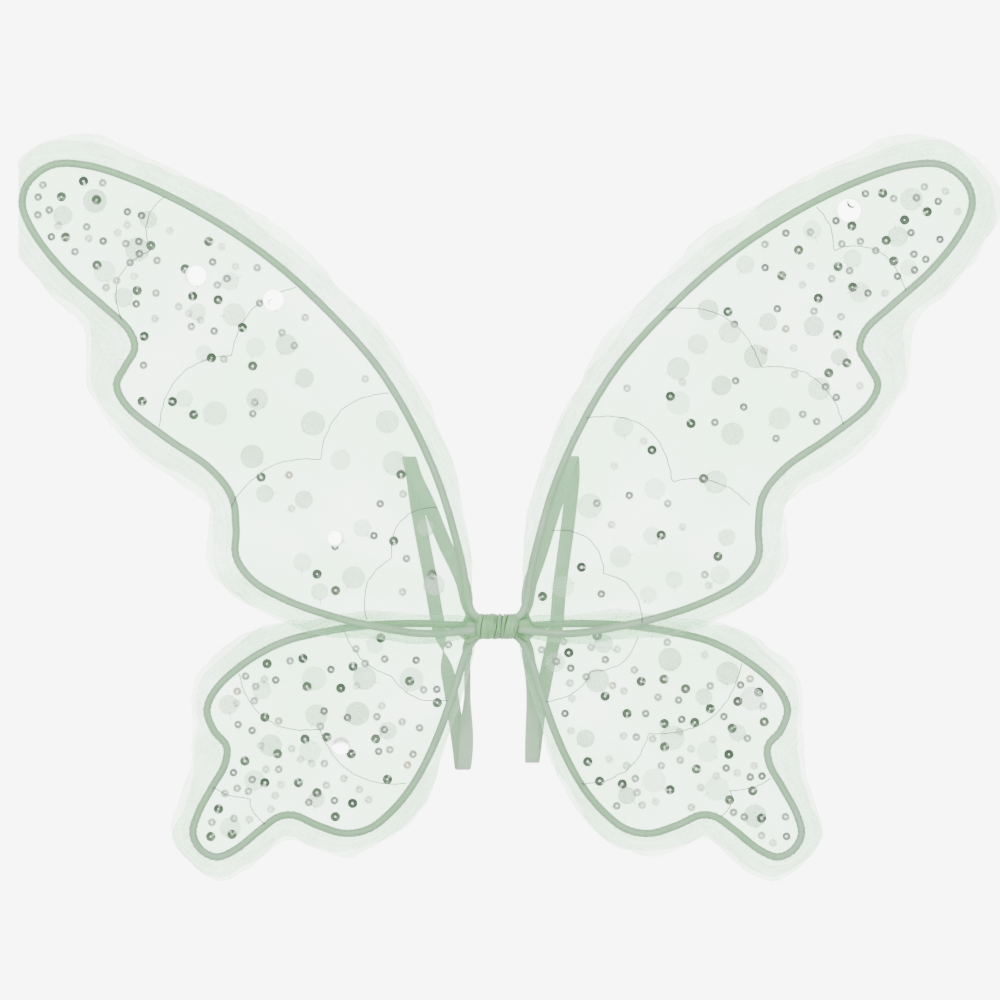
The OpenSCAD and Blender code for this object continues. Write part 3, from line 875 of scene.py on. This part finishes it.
def make_paillettes(side, level, threads):
    """Large thin discs, sewn at one edge, mostly behind the front panel."""
    node = f"{side}_{level}_paillettes"
    dice = random.Random(node)
    sheer, silver = Build(), Build()
    for centre, r in discs_of(node, level):
        in_front = dice.random() < 0.11
        centre.y += (-1.1 if in_front else 1.15) * MM
        tone = dice.random()
        grey = mix(Vector((0.36, 0.45, 0.38)), Vector((0.52, 0.60, 0.54)), tone)
        body = (*grey, mix(0.2, 0.42, dice.random()))
        b = silver if in_front and dice.random() < 0.55 else sheer
        edge = (grey.x * 0.9, grey.y * 0.9, grey.z * 0.9, min(1.0, body[3] * 1.5))
        thick = 0.14 * MM
        profile = [(0.0, 0), (r * 0.5, 0.02 * MM), (r * 0.94, 0.12 * MM), (r, 0.2 * MM),
                   (r, 0.2 * MM + thick), (r * 0.94, 0.12 * MM + thick), (r * 0.5, thick + 0.02 * MM),
                   (0.0, thick)]
        colours = [body, body, body, edge, edge, body, body, body]
        tilt = (dice.uniform(-0.05, 0.05), dice.uniform(-0.05, 0.05))
        verts, faces, tints = lathe(profile, 40, centre, tilt, 0, colours)
        b.add(verts, faces, None, tints)
        a = dice.uniform(3.6, 5.8) if dice.random() < 0.7 else dice.uniform(0, 6.28)
        out = Vector((math.cos(a), 0, math.sin(a)))
        hole = centre + out * (r - 1.6 * MM)
        lift = Vector((0, -0.5 * MM, 0))
        stitch(threads, [hole - lift, hole + lift, hole + out * 1.2 * MM + lift * 1.2,
                         hole + out * 2.2 * MM + lift * 0.4,
                         hole + out * dice.uniform(2.8, 5.0) * MM + lift * 0.8], 0.18 * MM)
    for name, b, material in (("sheer_" + node, sheer, PAILLETTE), ("silver_" + node, silver, SILVER)):
        if not b.verts:
            continue
        obj = b.make(name, material)
        bm = bmesh.new()
        bm.from_mesh(obj.data)
        bmesh.ops.remove_doubles(bm, verts=bm.verts, dist=1e-6)
        bm.to_mesh(obj.data)
        bm.free()
        if b is sheer:
            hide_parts(node)
        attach(obj, f"{side}_{level}_wing")


def arc_points(a, b, bulge, steps):
    a, b = Vector(a), Vector(b)
    chord = b - a
    n = Vector((-chord.y, chord.x)).normalized()
    if n.dot(a + b) < 0:
        n = -n
    return [mix(a, b, k / steps) + n * bulge * 4 * (k / steps) * (1 - k / steps) for k in range(steps + 1)]


def make_stitching(side, level, threads):
    """Scalloped lines of stitching: short stitches on the front panel, end to end."""
    sign = SIDES[side]
    y = WING_Y[level] - 2.75 * MM
    stitch_length = 2.2
    # places along one stitch, and how deep the thread lies there, in millimetres
    dips = ((-0.04, 0.35), (0.12, 0), (0.88, 0), (1.04, 0.35))
    b = Build()
    for start, cusp, end, bulge_a, bulge_b in LINES[side, level]:
        line = arc_points(start, cusp, bulge_a, 16) + arc_points(cusp, end, bulge_b, 16)[1:]
        line = [q + 0.9 * Vector([noise.noise(Vector((q.x / 5, q.y / 5, seed))) for seed in (2, 7)])
                for q in even(line, stitch_length)]
        for p, q in zip(line, line[1:]):
            spots = [(mix(p, q, share), dip) for share, dip in dips]
            stitch(b, [Vector((sign * s.x * MM, y + dip * MM, s.y * MM)) for s, dip in spots], 0.36 * MM)
    name = f"{side}_{level}_stitching"
    obj = b.make("scallops_" + name, THREAD)
    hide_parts(name)
    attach(obj, f"{side}_{level}_wing")
    tacks = threads.make(f"{side}_{level}_sequin_threads", THREAD)
    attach(tacks, f"{side}_{level}_wing")


# ---------------------------------------------------------------- arm loops


def loop_line(side):
    """Middle line of a right-hand arm loop, from under the binding, round the loop and back again."""
    tuck_r, angle = TAPE_R + 0.6 * MM, math.radians(30)
    y, z = MIDDLE_Y + tuck_r * math.cos(angle), tuck_r * math.sin(angle)
    x = BINDING_END
    points = [Vector((x - 8 * MM, y, z)), Vector((x - 1 * MM, y, z)), Vector((x + 3.5 * MM, y, z * 1.05))]
    points += [Vector(p) * MM for p in LOOPS[side]]
    points += [Vector((x + 3.5 * MM, y, -z * 1.05)), Vector((x - 1 * MM, y, -z)), Vector((x - 8 * MM, y, -z))]
    return even(smooth(points, 10), 2.0 * MM)


def make_strap(side):
    """Flat elastic: it faces along Y and turns round the tape at its tucked ends."""
    line = loop_line(side)
    t = tangents(line)
    last = len(line) - 1
    seed = 7 if side == "left" else 19
    across = []
    for i, d in enumerate(t):
        to_start, to_end = ease(1 - (i - 6) / 14), ease(1 - (last - i - 6) / 14)
        aim = mix(Vector((-1, 0, 0)), Vector((0, -0.5, 0.87)), to_start)
        aim = mix(aim, Vector((0, -0.5, -0.87)), to_end)
        w = (aim - aim.dot(d) * d).normalized()
        if side == "left" and i > last / 3:
            # a half twist, where the strand falls at the back of the loop
            falling = line[i].z if line[i].y > 30 * MM else -1.0
            turn = math.pi * ease((8 * MM - falling) / (52 * MM))
            w = w * math.cos(turn) + d.cross(w) * math.sin(turn)
        if i > last / 2 and line[i].y < 12 * MM:
            # the strand that climbs back to the binding shows some of its edge
            lean = (1.15 if side == "left" else 0.5) * ease((line[i].z + 92 * MM) / (45 * MM))
            lean *= 1 - ease((line[i].z + 26 * MM) / (14 * MM))
            w = w * math.cos(lean) + d.cross(w) * math.sin(lean)
        across.append(w)
    path = mirrored(line, side)
    across = mirrored(across, side)
    away = [a.cross(b).normalized() for a, b in zip(tangents(path), across)]

    def profile(i):
        edge = min(i, last - i)
        half = (3.5 + 1.5 * ease((edge - 5) / 14)) * MM
        curl = 0.35 * noise.noise(Vector((i * 0.05, seed, 0)))
        thick = 0.45 * MM
        ring = []
        columns = [-1, -0.96, -0.8, -0.5, -0.2, 0.2, 0.5, 0.8, 0.96, 1]
        for c in columns:
            ring.append((half * c, thick * (1 if abs(c) < 0.9 else 0.55) + curl * c * c * MM))
        for c in reversed(columns):
            ring.append((half * c, -thick * (1 if abs(c) < 0.9 else 0.55) + curl * c * c * MM))
        return ring

    verts, faces, uvs = swept(path, across, away, profile)
    obj = mesh_object(f"{side}_elastic_loop", verts, faces, ELASTIC, True, uvs)
    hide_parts(f"{side}_strap", f"{side}_strap_ends")
    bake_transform(obj)


# ---------------------------------------------------------------- binding


def make_binding():
    """Ribbon wound round the middle in five turns of uneven width, creased where each meets the next."""
    starts = [0.0, 0.14, 0.50, 0.60, 0.68, 1.0, 1.0]
    end, steps, columns = BINDING_END + 0.8 * MM, 72, 21
    lie, half_thick = TAPE_R + 1.9 * MM, 0.2 * MM

    def left_edge(turn):
        k = max(0, min(5, math.floor(turn)))
        share = mix(starts[k], starts[k + 1], max(0.0, min(1.0, turn - k)))
        return -end + 2 * end * share

    verts, uvs, tints = [], [], []
    count = int(5.7 * steps)
    for i in range(count + 1):
        turn = i / steps - 0.8
        a = 2 * math.pi * turn
        x0, x1 = left_edge(turn), min(end, left_edge(turn + 1) + 1.3 * MM)
        next_x = left_edge(turn + 1)
        slant = 0.11 * ease((turn - 2.6) / 1.0)
        for face in (1, -1):
            for c in range(columns):
                u = c / (columns - 1) if face > 0 else 1 - c / (columns - 1)
                x = mix(x0, x1, u)
                width = next_x - x0
                round_up = math.sin(math.pi * max(0.0, min(1.0, (x - x0) / max(width, MM)))) ** 0.6
                ca, sa, x_mm = math.cos(a), math.sin(a), x / MM
                crease = noise.noise(Vector((x_mm * 0.8 + turn, ca * 0.8, sa * 0.8 + turn)))
                gather = noise.noise(Vector((x_mm * 2.0, ca * 0.9 + 9, sa * 0.9)))
                bump = noise.noise(Vector((x_mm * 0.25, ca * 1.6, sa * 1.6 + 4)))
                r = lie + (0.75 * round_up + 0.35 * crease + 0.16 * gather + 0.4 * bump) * MM
                # the edge on top stands proud, the edge under the next turn dips, and so do both ends
                r += 0.45 * MM * (1 - ease((x - x0) / (2.5 * MM)))
                r -= 0.8 * MM * ease((x - next_x + 0.6 * MM) / MM)
                r -= 2.2 * MM * ease((abs(x) - end + 2.4 * MM) / (2.4 * MM))
                r += face * half_thick
                y = MIDDLE_Y - r * ca
                z = r * sa
                verts.append(Vector((max(-end, min(end, x + slant * z)), y, z)))
                uvs.append((a * BINDING_R, x))
                # painted shade: the tint is darker where two turns meet, in the creases and at both ends
                dark = 0.6 * ease(1 - abs(x - next_x) / (1.1 * MM)) if next_x < end else 0.0
                dark += 0.7 * max(0.0, -crease - 0.1) + 0.3 * max(0.0, -gather)
                dark += 0.25 * ease((abs(x) - end + 1.5 * MM) / (1.5 * MM))
                light = max(0.25, 1.08 - dark)
                tints.append((light * light, light, light * light, 1))
    faces = ring_faces(count + 1, 2 * columns, flip=True)
    obj = mesh_object("wound_binding_ribbon", verts, faces, BINDING_SATIN, True, uvs, tints)
    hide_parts("binding_ribbon")
    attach(obj, "root")


def make_stem(side):
    """Ribbon gathered round the sleeves between the binding and the fold line."""
    sign = SIDES[side]
    # X, middle Z, half height and half depth of each section, in millimetres
    stations = [
        (11.0, 0.0, 7.6, 4.6), (15.5, 0.0, 9.0, 4.6), (19.5, 0.0, 11.4, 3.8), (21.8, -0.4, 11.2, 3.2),
        (24.0, -2.0, 7.2, 2.9), (27.0, -2.7, 3.8, 2.5), (29.5, -3.2, 2.6, 2.2), (31.0, -3.2, 1.2, 1.2)]
    curve = even(smooth([Vector((x, z, h)) for x, z, h, _ in stations], 8), 0.7)
    deep = smooth([Vector((x, w, 0)) for x, _, _, w in stations], 8)
    sides, verts, uvs, tints = 36, [], [], []
    seed = 5 if side == "left" else 31
    for c in curve:
        w = min(deep, key=lambda q: abs(q.x - c.x)).y
        for k in range(sides):
            a = 2 * math.pi * k / sides
            fold = noise.noise(Vector((c.x * 0.09, math.cos(a) * 2.4 + seed, math.sin(a) * 2.4)))
            grow = 1 + 0.3 * fold
            verts.append(Vector((sign * c.x, MIDDLE_Y / MM - w * grow * math.cos(a) * sign,
                                 c.y + c.z * grow * math.sin(a))) * MM)
            uvs.append((c.x * MM, a * 4 * MM))
            # painted shade and light: the tint darkens the hollows of the gathers and lightens their ridges
            light = max(0.35, min(1.1, 1.0 + 0.8 * fold))
            tints.append((light * light, light, light * light, 1))
    faces = ring_faces(len(curve), sides, flip=True)
    obj = mesh_object(f"{side}_gathered_ribbon", verts, faces, BINDING_SATIN, True, uvs, tints)
    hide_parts(f"{side}_stem")
    fold_blend(obj)


# ---------------------------------------------------------------- the whole object

for side in SIDES:
    for level in ("upper", "lower"):
        sleeve, path, away = make_sleeve(side, level)
        seam = make_seam(side, level, path, away)
        for piece in (sleeve, seam):
            fold_blend(piece)
        for layer in ("front", "back"):
            make_tulle(side, level, layer)
        threads = Build()
        make_cups(side, level, "dark_sequins", threads)
        make_cups(side, level, "ring_sequins", threads)
        make_paillettes(side, level, threads)
        make_stitching(side, level, threads)
    make_strap(side)
    make_stem(side)
make_binding()

for name, obj in frame["nodes"].items():
    if name.endswith("_wire") or name == "wire_end_bundle":
        finish = STEEL
    elif name == "bundle_tape":
        finish = TAPE
    else:
        continue
    for material_slot in obj.material_slots:
        material_slot.material = finish
